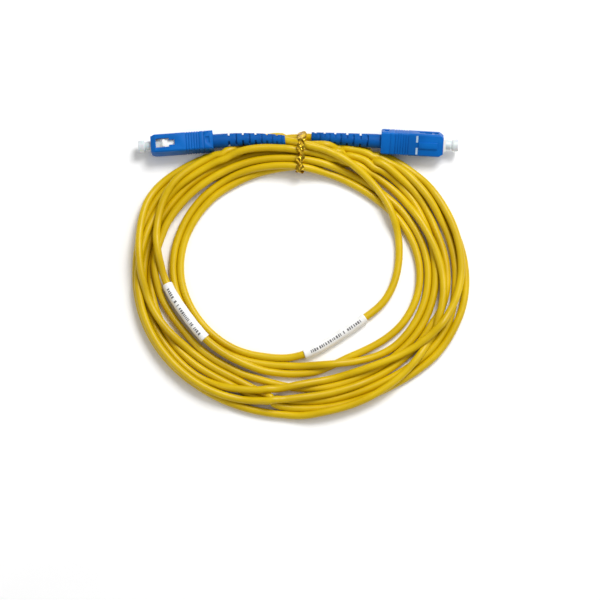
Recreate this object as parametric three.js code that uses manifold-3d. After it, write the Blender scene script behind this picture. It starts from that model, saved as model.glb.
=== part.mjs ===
// A simplex fibre optic patch cord: a coil of 3 mm cord with a push-pull plug at each end.
//
// World frame, mm: X runs along the two plugs, +Y points away from the coil, Z is up and the
// table is z = 0. The origin is under the middle of the pair of plugs.
// Plug frame, mm: x points out of the plug's mouth and is 0 at the plug frame's front face,
// y runs across the 9 mm width, z points to the keyed face.

import * as THREE from "three";
import { mergeVertices } from "three/addons/utils/BufferGeometryUtils.js";
import Module from "manifold-3d";

const wasm = await Module();
wasm.setup();

// ---- clearances ----
const GAP = 0.3; // air between pieces that slide or rest on each other
const SNUG = 0.15; // air between the nested sleeves of the crimp

// ---- cord ----
const CORD_D = 3.0;
const BUFFER_D = 0.9;
const CORD_SIDES = 8;
const CORD_R = CORD_D / 2;

// ---- grip, the outer housing ----
const GRIP_L = 25.0;
const GRIP_W = 9.0;
const GRIP_H = 7.4;
const GRIP_WALL_W = 0.9; // the two walls that carry the latch windows
const GRIP_WALL_H = 0.6; // the keyed wall and the one opposite
const GRIP_EDGE = 0.5; // chamfer along the four long edges
const NOSE_CUT_L = 1.8; // chamfer at the mouth, along the plug
const NOSE_CUT_W = 1.2; // the same chamfer, across the width
const NOSE_CUT_H = 0.6; // the same chamfer, across the height
const TAIL_CUT = 0.6; // chamfer at the rear end
const LIP_L = 1.4; // front lip, narrower than the cavity behind it
const REAR_WALL = 1.5;
const WINDOW_X = 2.1; // from the grip's front to the latch window
const WINDOW_L = 5.3;
const WINDOW_H = 3.65;
const WINDOW_TAIL_L = 2.3; // the narrower slot that runs on from the window
const WINDOW_TAIL_H = 2.1;
const RIB_X = 11.0; // from the first finger groove to the grip's rear
const RIB_PITCH = 1.04;
const RIB_COUNT = 6;
const RIB_GROOVE_L = 0.42;
const RIB_DEPTH = 0.25;
const REAR_LINE_X = 3.8; // from the line to the grip's rear
const REAR_LINE_L = 0.35;
const REAR_POCKET_X = 3.0; // from the pocket to the grip's rear
const REAR_POCKET_L = 1.7;
const REAR_POCKET_H = 2.4;
const REAR_POCKET_DEPTH = 0.4;
const KEY_X = 2.5;
const KEY_L = 7.4;
const KEY_W = 2.4;
const KEY_H = 0.5;
const GRIP_BACK_A = 0.0; // how far grip A stands behind its plug frame's front
const GRIP_BACK_B = 1.0; // grip B is drawn back half its play

// ---- ferrule and dust cap ----
const FERRULE_D = 2.5;
const FERRULE_L = 10.5;
const FERRULE_OUT = 1.5; // tip, past the plug frame's front
const FERRULE_TIP = 0.35; // chamfer at the tip
const CAP_WALL = 0.35;
const CAP_SKIRT_L = 3.0; // skirt, behind the plug frame's front
const CAP_NECK_D = 3.3;
const CAP_HEAD_D = 4.9;
const CAP_HEAD_L = 2.7;
const CAP_OUT = 5.1; // whole length past the plug frame's front

// ---- plug frame ----
const FRAME_L = GRIP_L - 4.0; // leaves room for the stop body and for the grip's travel
const NOSE_L = 4.0; // the narrower front of the frame
const NOSE_SIDE = 0.7; // wall beside the bore, across the width
const NOSE_TOP = 0.4; // wall above the bore
const NOSE_TAPER = 0.5;
const SEAT_X = 7.0; // the ring that the flange rests behind
const SEAT_L = 0.9;
const LUG_X = 4.7;
const LUG_L = 1.0;
const LUG_H = 3.0;
const LUG_OUT = 0.6;

// ---- ferrule flange and spring ----
const SOCKET_WALL = 0.3;
const SOCKET_X = 5.4; // front end of the socket that holds the ferrule
const FLANGE_T = 1.6;
const FLANGE_RIM = 0.4; // rim past the socket
const TAIL_TUBE_SHORT = 2.0; // how much shorter than the spring the tail tube is
const TAIL_TUBE_STEP = 0.4; // how much thinner than the socket the tail tube is
const TAIL_TUBE_WALL = 0.5;
const WIRE_D = 0.5;
const SPRING_PITCH = 1.185;
const SPRING_TAIL = 2.7; // from the spring's rear to the plug frame's rear

// ---- stop body, yarn and crimp ----
const STOP_PLATE_T = 1.0;
const STOP_SHY = 0.1; // the plate stands this far inside the frame's outline
const BARREL_L = 6.0;
const YARN_T = 0.2;
const CRIMP_T = 0.3;
const CRIMP_OVER = 1.6; // length of jacket inside the crimp sleeve

// ---- boot ----
const BOOT_L = 31.4;
const BOOT_WALL = 0.5;
const BOOT_TAIL_WALL = 0.4;
const BOOT_TAIL_GAP = 0.2;
const BOOT_COLLAR_L = 6.4; // the straight collar
const BOOT_SIDES = 16;
const SLOT_START = 0.7; // from the crimp sleeve's end to the first slot
const SLOT_TAIL = 1.94; // from the last slot to the boot's tail
const SLOT_SHRINK = 0.0483; // each pitch is shorter by this share of the first pitch
const SLOT_COUNT = 10;
const SLOT_OPEN = 0.276; // length of a slot as a share of the first pitch
const SLOT_SKIN = 0.15; // skin left over the cord at the bottom of a slot
const BORE_TAPER = 0.4; // length over which the bore narrows behind the crimp
const SLOT_WEB = 0.9; // half thickness of the web left between two opposite slots
const BEND_AFTER = 1.7; // from the crimp sleeve's end to where the boot starts to bend
const JACKET_OUT = 0.5; // jacket that shows behind the boot

// ---- twist tie ----
const TIE_W = 2.4;
const TIE_T = 0.7;
const TIE_X = 0.8;
const TIE_SLACK = 0.55;
const KNOT_L = 3.2;
const KNOT_W = 1.6;
const KNOT_H = 1.2;
const TIE_LIFT = (TIE_T + TIE_SLACK + 0.01) / CORD_D; // the coil over the table there

// ---- coil ----
const COIL_R = 68.0; // half its width
const COIL_OVAL = 0.873; // height over width of the coil's outline
const COIL_X = 0.8;
const COIL_TOP_Y = 0.7; // outer edge of the coil between the two boots, at most
const PASS_AIR = 1.3; // between the coil and lead B where it passes the grip of plug A
const PASS_EDGE = 0.922; // outer edge of the coil there, as a share of COIL_R
// The coil's section by bearing: degrees clockwise from +Y, inner edge, edge of the upper layer,
// outer edge (all as a share of COIL_R), underside, lower layer's top, upper layer's top (all in
// cord diameters).
const COIL = [
  [0, 0.729, 0.882, 0.929, TIE_LIFT, 1.17, 2.2],
  [8, 0.722, 0.857, 0.918, 0.34, 1.17, 2.1],
  [14, 0.709, 0.825, 0.913, 0.1, 1.2, 1.53],
  [24, 0.694, 0.87, 0.922, 0, 1.25, 1.53],
  [40, 0.679, 0.93, 0.985, 0, 1.2, 1.53],
  [50, 0.682, 0.94, 1.0, 0, 1.2, 1.53],
  [62, 0.688, 0.94, 0.994, 0, 1.3, 1.53],
  [80, 0.688, 0.93, 0.985, 0, 1.4, 1.86],
  [100, 0.682, 0.94, 0.994, 0, 1.4, 1.86],
  [115, 0.667, 0.93, 0.982, 0, 1.4, 1.86],
  [130, 0.641, 0.9, 0.95, 0, 1.4, 1.86],
  [142, 0.612, 0.88, 0.926, 0, 1.4, 1.86],
  [152, 0.594, 0.885, 0.94, 0, 1.4, 1.86],
  [170, 0.585, 0.9, 0.958, 0, 1.4, 1.86],
  [187.6, 0.583, 0.91, 0.966, 0, 1.4, 1.86],
  [188, 0.541, 0.91, 0.966, 0, 1.4, 1.86],
  [200, 0.562, 0.915, 0.971, 0, 1.5, 2.0],
  [210.6, 0.588, 0.92, 0.973, 0, 1.6, 2.1],
  [211, 0.588, 0.92, 0.973, 0, 0.9, 1.1],
  [230, 0.62, 0.92, 0.975, 0, 0.9, 1.1],
  [250, 0.648, 0.92, 0.976, 0, 0.9, 1.1],
  [270, 0.68, 0.92, 0.982, 0, 0.9, 1.1],
  [286, 0.7, 0.93, 0.992, 0, 0.9, 1.1],
  [298, 0.706, 0.98, 1.06, 0, 0.9, 1.1],
  [308, 0.712, 0.98, 1.06, 0, 0.9, 1.1],
  [316, 0.714, 0.93, 1.02, 0, 0.9, 1.1],
  [324, 0.716, 0.87, 0.94, 0, 0.95, 1.15],
  [332, 0.718, 0.86, 0.915, 0, 1.1, 1.4],
  [342, 0.722, 0.865, 0.915, 0.1, 1.17, 1.8],
  [352, 0.726, 0.87, 0.92, 0.36, 1.17, 2.1],
];
const COIL_STEP = 6; // degrees between sections
const COIL_EDGE = 0.18; // chamfer of the coil's edges, in cord diameters

// ---- label sleeves ----
const LABEL_L = 29.0;
const LABEL_T = 0.3;
const LABEL_A_END = 3.6; // from the sleeve to the end of lead A
const LABEL_B_END = 16.0;

// ---- leads: degrees clockwise from +Y, share of COIL_R, height of the axis over the table ----
const OVER = 1.53 * CORD_D + CORD_D / 2 + GAP; // axis of a cord that crosses the coil's low top
const ABOVE = 1.1 * CORD_D + CORD_D / 2 + GAP; // axis of a cord that lies on the single layer
const FLOOR = CORD_D / 2 + 0.05; // axis of a cord that lies on the table
const SLEEVED = LABEL_T + GAP; // how much higher a cord lies inside its label sleeve
const LEAD_A = [
  [4, 0.914, OVER],
  [10, 0.891, OVER],
  [20, 0.845, OVER],
  [32, 0.785, OVER],
  [44, 0.72, OVER],
  [54, 0.664, OVER - 0.2],
  [64, 0.622, 0.6 * OVER + 0.4 * FLOOR],
  [74, 0.594, FLOOR + 0.5],
  [86, 0.572, FLOOR],
  [100, 0.54, FLOOR + SLEEVED / 2],
  [114, 0.505, FLOOR + SLEEVED],
  [128, 0.462, FLOOR + SLEEVED],
  [142, 0.452, FLOOR + SLEEVED],
  [156, 0.464, FLOOR + SLEEVED],
  [168, 0.5, FLOOR + SLEEVED],
  [178, 0.527, FLOOR + SLEEVED],
  [186.9, 0.546, FLOOR + SLEEVED],
];
const LEAD_B_START = [
  [1.5, 0.964, COIL[0][4] * CORD_D + CORD_R + 0.04],
  [354, 0.972, FLOOR + 0.3],
  [346, 0.976, FLOOR],
];
// Lead B beside plug A: distance behind the grip, distance from the plug's axis, height.
const LEAD_B_PASS = [
  [10.1, 1.5 * CORD_R, FLOOR + 0.25],
  [2.1, GRIP_H / 2 + 1.9, FLOOR + 1.7],
];
const LEAD_B_END = [
  [322, 0.975, ABOVE - 0.2],
  [313, 0.985, ABOVE],
  [302, 0.955, ABOVE],
  [290, 0.892, ABOVE + SLEEVED / 2],
  [278, 0.832, ABOVE + SLEEVED],
  [266, 0.778, ABOVE + SLEEVED],
  [254, 0.735, ABOVE + SLEEVED],
  [242, 0.703, ABOVE + SLEEVED],
  [230, 0.694, ABOVE + SLEEVED],
  [220, 0.688, ABOVE + SLEEVED],
  [211.6, 0.682, ABOVE],
];
const LEAD_STEP = 2.4; // length of one straight step, in cord diameters

// ---- derived sizes ----
const CAVITY_W = GRIP_W - 2 * GRIP_WALL_W;
const CAVITY_H = GRIP_H - 2 * GRIP_WALL_H;
const FRAME_W = CAVITY_W - 2 * GAP;
const FRAME_H = CAVITY_H - 2 * GAP;
const CAP_BORE_R = FERRULE_D / 2 + GAP;
const CAP_SKIRT_R = CAP_BORE_R + CAP_WALL;
const FRAME_BORE_R = CAP_SKIRT_R + GAP;
const NOSE_W = 2 * (FRAME_BORE_R + NOSE_SIDE);
const NOSE_H = 2 * (FRAME_BORE_R + NOSE_TOP);
const SOCKET_BORE_R = FERRULE_D / 2 + SNUG;
const SOCKET_R = SOCKET_BORE_R + SOCKET_WALL;
const FLANGE_R = SOCKET_R + FLANGE_RIM;
const SEAT_R = SOCKET_R + GAP;
const REAR_BORE_R = FLANGE_R + GAP;
const FLANGE_X = SEAT_X + SEAT_L + GAP;
const TAIL_TUBE_R = SOCKET_R - TAIL_TUBE_STEP;
const SPRING_R = TAIL_TUBE_R + GAP + WIRE_D / 2;
const SPRING_X = FLANGE_X + FLANGE_T + GAP;
const SPRING_L = FRAME_L - SPRING_TAIL - SPRING_X;
const SPRING_TURNS = (SPRING_L - WIRE_D) / SPRING_PITCH;
const TAIL_TUBE_L = SPRING_L - TAIL_TUBE_SHORT;
const STOP_X = FRAME_L + GAP; // front face of the stop body's plate
const BARREL_X = STOP_X + STOP_PLATE_T;
const BARREL_END = BARREL_X + BARREL_L;
const BUFFER_R = BUFFER_D / 2;
const CRIMP_BORE_R = CORD_R + GAP;
const CRIMP_R = CRIMP_BORE_R + CRIMP_T;
const YARN_R = CRIMP_BORE_R - SNUG;
const BARREL_R = YARN_R - YARN_T - SNUG;
const BARREL_BORE_R = BUFFER_R + GAP;
const JACKET_X = BARREL_END + GAP + 0.1;
const CRIMP_END = JACKET_X + CRIMP_OVER;
const BOOT_X = BARREL_X + GAP;
const BOOT_TAIL_X = BOOT_X + BOOT_L; // tail of the boot, behind the plug frame's front
const BOOT_COLLAR_END = BOOT_X + BOOT_COLLAR_L;
const BEND_START = CRIMP_END + BEND_AFTER;
const SLOT_X = CRIMP_END + SLOT_START;
const SLOT_GAPS = SLOT_COUNT - 1;
const SLOT_RUN = SLOT_GAPS - (SLOT_SHRINK * SLOT_GAPS * (SLOT_GAPS - 1)) / 2; // in first pitches
const SLOT_PITCH = (BOOT_TAIL_X - SLOT_TAIL - SLOT_X) / SLOT_RUN;
const SLOT_L = SLOT_OPEN * SLOT_PITCH;
const BOOT_BORE_R = CRIMP_R + 0.2;
const COLLAR_R = BOOT_BORE_R + BOOT_WALL;
const BOOT_TAIL_BORE_R = CORD_R + BOOT_TAIL_GAP;
const BOOT_TAIL_R = BOOT_TAIL_BORE_R + BOOT_TAIL_WALL;
// ---- the two plugs as they lie: their boots' tails meet at the tie ----
const CROSS_AIR = 0.15; // between boot A and lead B, which passes under it
const CROSS_BACK = GRIP_BACK_A + GRIP_L + LEAD_B_PASS[0][0];
const CROSS_REACH = COLLAR_R - 0.17 + CORD_R + CROSS_AIR;
const CROSS_Z = LEAD_B_PASS[0][2] + Math.sqrt(CROSS_REACH ** 2 - LEAD_B_PASS[0][1] ** 2);
const ROLL_B = 25;
const TIP_B = THREE.MathUtils.degToRad(ROLL_B);
// How far the lowest edge of a grip rolled by ROLL_B lies under its axis.
const EDGE_DOWN = (GRIP_W / 2 - GRIP_EDGE) * Math.sin(TIP_B) + (GRIP_H / 2) * Math.cos(TIP_B);
const PLUG_A = {
  nose: [-BOOT_TAIL_X - 5.0, -1.24, GRIP_W / 2 + 0.05],
  heading: 184.0, // degrees from +X, seen from above
  pitch: -THREE.MathUtils.radToDeg(Math.asin((CROSS_Z - GRIP_W / 2 - 0.05) / CROSS_BACK)),
  roll: 90, // on its side, latch window up
  bend: [0, -2.0, 0.75], // shift of the boot's tail
  gripBack: GRIP_BACK_A,
};
const PLUG_B = {
  nose: [BOOT_TAIL_X + 5.3, -0.98, EDGE_DOWN + 0.26],
  heading: -3.3,
  pitch: 0,
  roll: ROLL_B, // tipped onto one long edge, keyed face up
  bend: [0, 0.5, -2.2],
  gripBack: GRIP_BACK_B,
};

// ---- where lead B passes plug A, and the coil's place below that ----
function passPoint([behind, side, z]) {
  const at = onAxis(PLUG_A, PLUG_A.gripBack + GRIP_L + behind);
  return new THREE.Vector3(at.x, at.y - side, z);
}
const PASS = passPoint(LEAD_B_PASS[1]);
const PASS_UP = COIL_OVAL * Math.sqrt((PASS_EDGE * COIL_R) ** 2 - (PASS.x - COIL_X) ** 2);
const COIL_Y = Math.min(
  COIL_TOP_Y - COIL_OVAL * COIL_R * COIL[0][3],
  PASS.y - CORD_R - PASS_AIR - PASS_UP,
);

const root = new THREE.Group();
root.name = "fiber_optic_patch_cord";

// ---- helpers ----
function material(color, roughness, metalness) {
  return new THREE.MeshStandardMaterial({ color, roughness, metalness });
}

function add(name, geometry, look) {
  const mesh = new THREE.Mesh(geometry, look);
  mesh.name = name;
  root.add(mesh);
  return mesh;
}

function solid(geometry) {
  const bare = geometry.clone();
  bare.deleteAttribute("normal");
  bare.deleteAttribute("uv");
  const merged = mergeVertices(bare, 1e-4);
  const mesh = new wasm.Mesh({
    numProp: 3,
    vertProperties: new Float32Array(merged.attributes.position.array),
    triVerts: new Uint32Array(merged.index.array),
  });
  return new wasm.Manifold(mesh);
}

function geometryOf(manifold) {
  const mesh = manifold.getMesh();
  const g = new THREE.BufferGeometry();
  g.setAttribute("position", new THREE.BufferAttribute(new Float32Array(mesh.vertProperties), 3));
  g.setIndex(new THREE.BufferAttribute(new Uint32Array(mesh.triVerts), 1));
  const flat = g.toNonIndexed();
  flat.computeVertexNormals();
  return flat;
}

// A box behind the plug frame's front: from x0 to x1 back, w across y and h across z.
function block(x0, x1, w, h, y = 0, z = 0) {
  const g = new THREE.BoxGeometry(x1 - x0, w, h);
  g.translate(-(x0 + x1) / 2, y, z);
  return g;
}

// A turned piece about the plug's axis, from a closed profile of [distance back, radius].
function turned(profile, sides) {
  const points = profile.map(([x, r]) => new THREE.Vector2(Math.max(r, 0), -x));
  const g = new THREE.LatheGeometry(points, sides);
  g.rotateZ(-Math.PI / 2);
  return g;
}

// A tube about the plug's axis, from x0 to x1 back.
function tube(x0, x1, inner, outer, sides) {
  return turned([[x0, inner], [x1, inner], [x1, outer], [x0, outer], [x0, inner]], sides);
}

// A rod about the plug's axis, with a chamfer at each end.
function rod(x0, x1, radius, sides, front = 0, back = 0) {
  const profile = [[x1, 0], [x1, radius - back]];
  if (back) profile.push([x1 - back, radius]);
  if (front) profile.push([x0 + front, radius]);
  profile.push([x0, radius - front], [x0, 0]);
  return turned(profile, sides);
}

// A plate with an outline in one plane, as thick as depth about that plane.
function plate(outline, depth) {
  const shape = new THREE.Shape(outline.map(([u, v]) => new THREE.Vector2(u, v)));
  const g = new THREE.ExtrudeGeometry(shape, { depth, bevelEnabled: false, steps: 1 });
  g.translate(0, 0, -depth / 2);
  return g;
}

function axesOf(plug) {
  const h = THREE.MathUtils.degToRad(plug.heading);
  const p = THREE.MathUtils.degToRad(plug.pitch);
  const r = THREE.MathUtils.degToRad(plug.roll);
  const x = new THREE.Vector3(Math.cos(h) * Math.cos(p), Math.sin(h) * Math.cos(p), Math.sin(p));
  const side = new THREE.Vector3(0, 0, 1).cross(x).normalize();
  const top = x.clone().cross(side);
  const y = side.clone().multiplyScalar(Math.cos(r)).addScaledVector(top, Math.sin(r));
  const z = top.clone().multiplyScalar(Math.cos(r)).addScaledVector(side, -Math.sin(r));
  return new THREE.Matrix4().makeBasis(x, y, z).setPosition(...plug.nose);
}

// Puts a piece of a plug into the world, with the boot's bend behind BEND_START.
function placed(geometry, plug) {
  const g = geometry.clone();
  const back = g.attributes.position.clone();
  g.applyMatrix4(axesOf(plug));
  const p = g.attributes.position;
  for (let i = 0; i < p.count; i += 1) {
    const t = Math.max(0, (-back.getX(i) - BEND_START) / (BOOT_TAIL_X - BEND_START));
    const x = p.getX(i) + plug.bend[0] * t * t;
    const y = p.getY(i) + plug.bend[1] * t * t;
    const z = p.getZ(i) + plug.bend[2] * t * t;
    p.setXYZ(i, x, y, z);
  }
  return g;
}

// A point on the plug's bent axis.
function onAxis(plug, back) {
  const v = new THREE.Vector3(-back, 0, 0).applyMatrix4(axesOf(plug));
  const t = Math.max(0, (back - BEND_START) / (BOOT_TAIL_X - BEND_START));
  return v.add(new THREE.Vector3(...plug.bend).multiplyScalar(t * t));
}

// ---- pieces of one plug, in the plug's frame ----
function gripGeometry() {
  const w = GRIP_W / 2;
  const h = GRIP_H / 2;
  const e = GRIP_EDGE;
  // Seen from the keyed face: chamfered at the mouth and at the rear.
  const plan = plate(
    [
      [-GRIP_L, -w + TAIL_CUT],
      [-GRIP_L + TAIL_CUT, -w],
      [-NOSE_CUT_L, -w],
      [0, -w + NOSE_CUT_W],
      [0, w - NOSE_CUT_W],
      [-NOSE_CUT_L, w],
      [-GRIP_L + TAIL_CUT, w],
      [-GRIP_L, w - TAIL_CUT],
    ],
    GRIP_H + 2,
  );
  // Seen from the side.
  const side = plate(
    [
      [-GRIP_L, -h],
      [-NOSE_CUT_L, -h],
      [0, -h + NOSE_CUT_H],
      [0, h - NOSE_CUT_H],
      [-NOSE_CUT_L, h],
      [-GRIP_L, h],
    ],
    GRIP_W + 2,
  );
  side.rotateX(Math.PI / 2);
  // Seen from the mouth: the four long edges are chamfered.
  const end = plate(
    [
      [-w + e, -h],
      [w - e, -h],
      [w, -h + e],
      [w, h - e],
      [w - e, h],
      [-w + e, h],
      [-w, h - e],
      [-w, -h + e],
    ],
    GRIP_L + 2,
  );
  end.rotateX(Math.PI / 2);
  end.rotateZ(Math.PI / 2);
  end.translate(-GRIP_L / 2, 0, 0);
  let s = solid(plan).intersect(solid(side)).intersect(solid(end));
  s = s.add(solid(block(KEY_X, KEY_X + KEY_L, KEY_W, 2 * KEY_H, 0, h)));
  s = s.subtract(solid(block(LIP_L, GRIP_L - REAR_WALL, CAVITY_W, CAVITY_H)));
  s = s.subtract(solid(block(-1, LIP_L + 0.1, NOSE_W + 2 * GAP, NOSE_H + 2 * GAP)));
  s = s.subtract(solid(rod(GRIP_L - REAR_WALL - 0.1, GRIP_L + 1, COLLAR_R + GAP, 24)));
  s = s.subtract(solid(rod(BOOT_X - 2.5, GRIP_L, COLLAR_R + GAP - 0.02, 24)));
  s = s.subtract(solid(block(WINDOW_X, WINDOW_X + WINDOW_L, GRIP_W + 2, WINDOW_H)));
  const tail = WINDOW_X + WINDOW_L;
  s = s.subtract(solid(block(tail - 0.1, tail + WINDOW_TAIL_L, GRIP_W + 2, WINDOW_TAIL_H)));
  for (let i = 0; i < RIB_COUNT; i += 1) {
    const x = GRIP_L - RIB_X + i * RIB_PITCH;
    s = s.subtract(band(x, x + RIB_GROOVE_L, RIB_DEPTH));
  }
  const line = GRIP_L - REAR_LINE_X;
  s = s.subtract(band(line, line + REAR_LINE_L, RIB_DEPTH * 0.7));
  for (const y of [-1, 1]) {
    const at = y * (GRIP_W / 2);
    const pocket = block(
      GRIP_L - REAR_POCKET_X,
      GRIP_L - REAR_POCKET_X + REAR_POCKET_L,
      2 * REAR_POCKET_DEPTH,
      REAR_POCKET_H,
      at,
    );
    s = s.subtract(solid(pocket));
  }
  return geometryOf(s);
}

// The skin of the grip between x0 and x1, depth deep.
function band(x0, x1, depth) {
  const outer = solid(block(x0, x1, GRIP_W + 2, GRIP_H + 2));
  return outer.subtract(solid(block(x0 - 1, x1 + 1, GRIP_W - 2 * depth, GRIP_H - 2 * depth)));
}

function frameGeometry() {
  const w = NOSE_W / 2;
  const nose = plate(
    [
      [-NOSE_L - 0.2, -w],
      [-1.0, -w],
      [0, -w + NOSE_TAPER],
      [0, w - NOSE_TAPER],
      [-1.0, w],
      [-NOSE_L - 0.2, w],
    ],
    NOSE_H,
  );
  let s = solid(block(NOSE_L, FRAME_L, FRAME_W, FRAME_H)).add(solid(nose));
  s = s.add(solid(block(LUG_X, LUG_X + LUG_L, FRAME_W + 2 * LUG_OUT, LUG_H)));
  s = s.subtract(solid(rod(-1, SEAT_X, FRAME_BORE_R, 24)));
  s = s.subtract(solid(rod(SEAT_X - 0.1, SEAT_X + SEAT_L + 0.1, SEAT_R, 24)));
  s = s.subtract(solid(rod(SEAT_X + SEAT_L, FRAME_L + 1, REAR_BORE_R, 24)));
  return geometryOf(s);
}

function ferruleGeometry() {
  const r = FERRULE_D / 2;
  const back = FERRULE_L - FERRULE_OUT;
  const profile = [
    [back - 0.8, 0],
    [back, BUFFER_R * 0.8],
    [back, r - 0.1],
    [back - 0.2, r],
    [-FERRULE_OUT + FERRULE_TIP, r],
    [-FERRULE_OUT, r - FERRULE_TIP],
    [-FERRULE_OUT, 0],
  ];
  return turned(profile, 24);
}

function flangeGeometry() {
  const floor = FERRULE_L - FERRULE_OUT + GAP;
  const rear = FLANGE_X + FLANGE_T;
  const bore = TAIL_TUBE_R - TAIL_TUBE_WALL;
  const profile = [
    [SOCKET_X, SOCKET_BORE_R],
    [floor, SOCKET_BORE_R],
    [floor, bore],
    [rear + TAIL_TUBE_L, bore],
    [rear + TAIL_TUBE_L, TAIL_TUBE_R],
    [rear, TAIL_TUBE_R],
    [rear, FLANGE_R],
    [FLANGE_X, FLANGE_R],
    [FLANGE_X, SOCKET_R],
    [SOCKET_X, SOCKET_R],
    [SOCKET_X, SOCKET_BORE_R],
  ];
  return turned(profile, 20);
}

class Helix extends THREE.Curve {
  constructor(x0, x1, radius, turns) {
    super();
    this.x0 = x0;
    this.x1 = x1;
    this.radius = radius;
    this.turns = turns;
  }
  getPoint(t, target = new THREE.Vector3()) {
    const a = 2 * Math.PI * this.turns * t;
    const x = this.x0 + (this.x1 - this.x0) * t;
    return target.set(-x, this.radius * Math.cos(a), this.radius * Math.sin(a));
  }
}

// A ring of n points about the middle of a section.
function ringPoints(radius, n) {
  const points = [];
  for (let i = 0; i < n; i += 1) {
    const a = (2 * Math.PI * i) / n;
    points.push(new THREE.Vector2(radius * Math.cos(a), radius * Math.sin(a)));
  }
  return points;
}

function swept(section, path, steps) {
  return new THREE.ExtrudeGeometry(section, { extrudePath: path, steps, bevelEnabled: false });
}

function springGeometry() {
  const inset = WIRE_D / 2;
  const path = new Helix(SPRING_X + inset, SPRING_X + SPRING_L - inset, SPRING_R, SPRING_TURNS);
  return swept(new THREE.Shape(ringPoints(WIRE_D / 2, 6)), path, Math.round(SPRING_TURNS * 12));
}

function stopGeometry() {
  const front = SPRING_X + SPRING_L + GAP;
  const profile = [
    [front, BARREL_BORE_R],
    [BARREL_END, BARREL_BORE_R],
    [BARREL_END, BARREL_R - 0.1],
    [BARREL_END - 0.3, BARREL_R],
    [STOP_X + 0.2, BARREL_R],
    [STOP_X + 0.2, REAR_BORE_R - GAP],
    [front, REAR_BORE_R - GAP],
    [front, BARREL_BORE_R],
  ];
  const w = FRAME_W - 2 * STOP_SHY;
  const h = FRAME_H - 2 * STOP_SHY;
  let face = solid(block(STOP_X, BARREL_X, w, h));
  face = face.subtract(solid(rod(STOP_X - 1, BARREL_X + 1, BARREL_BORE_R + 0.2, 20)));
  return geometryOf(solid(turned(profile, 20)).add(face));
}

function bootGeometry() {
  const taper = (x) => {
    const t = Math.min(1, Math.max(0, (x - BOOT_COLLAR_END) / (BOOT_TAIL_X - BOOT_COLLAR_END)));
    return COLLAR_R + (BOOT_TAIL_R - COLLAR_R) * t;
  };
  const bore = (x) => {
    const t = Math.min(1, Math.max(0, (x - CRIMP_END - GAP) / BORE_TAPER));
    return BOOT_BORE_R + (BOOT_TAIL_BORE_R - BOOT_BORE_R) * t;
  };
  const stations = [BOOT_X, CRIMP_END + GAP, CRIMP_END + GAP + BORE_TAPER];
  const bent = BOOT_TAIL_X - stations[2];
  for (let i = 1; i <= 6; i += 1) stations.push(stations[2] + (bent * i) / 6);
  const profile = stations.map((x) => [x, bore(x)]);
  for (const x of [...stations].reverse()) profile.push([x, taper(x)]);
  profile.push(profile[0]);
  let s = solid(turned(profile, BOOT_SIDES));
  const core = solid(rod(BOOT_X, BOOT_TAIL_X, BOOT_TAIL_BORE_R + SLOT_SKIN, BOOT_SIDES));
  let x = SLOT_X;
  for (let i = 0; i < SLOT_COUNT; i += 1) {
    const half = COLLAR_R - SLOT_WEB + 1;
    const off = SLOT_WEB + half / 2;
    for (const way of [-1, 1]) {
      const wide = 2 * COLLAR_R + 2;
      const cut =
        i % 2 === 0
          ? block(x, x + SLOT_L, wide, half, 0, way * off)
          : block(x, x + SLOT_L, half, wide, way * off, 0);
      s = s.subtract(solid(cut).subtract(core));
    }
    x += SLOT_PITCH * (1 - SLOT_SHRINK * i);
  }
  return geometryOf(s);
}

// The bore is blind: it stops just past the ferrule's tip.
function capGeometry() {
  const floor = -FERRULE_OUT - GAP;
  const neck = CAP_NECK_D / 2;
  const head = CAP_HEAD_D / 2;
  const headX = -CAP_OUT + CAP_HEAD_L;
  const profile = [
    [floor, 0],
    [floor, CAP_BORE_R],
    [CAP_SKIRT_L, CAP_BORE_R],
    [CAP_SKIRT_L, CAP_SKIRT_R],
    [floor, CAP_SKIRT_R],
    [floor - 0.3, neck],
    [headX, neck],
    [headX - 0.5, head],
    [-CAP_OUT + 0.2, head],
    [-CAP_OUT, head - 0.25],
    [-CAP_OUT, 0],
  ];
  return turned(profile, 24);
}

const BLUE = 0x1d6fd0;
const YELLOW = 0xf2d21c;
const looks = {
  grip: () => material(BLUE, 0.45, 0),
  frame: () => material(0xf1f1ee, 0.5, 0),
  ferrule: () => material(0xfafafa, 0.2, 0),
  steel: () => material(0xb9bcc0, 0.35, 0.9),
  yarn: () => material(0xe8c84a, 0.9, 0),
  buffer: () => material(0xf4f0dc, 0.5, 0),
  jacket: () => material(YELLOW, 0.4, 0),
  boot: () => material(0x1a63c0, 0.6, 0),
  cap: () => material(0xe6ecef, 0.3, 0),
  label: () => material(0xf6f6f6, 0.6, 0),
  tie: () => material(0xc9971e, 0.3, 0.8),
};

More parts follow.
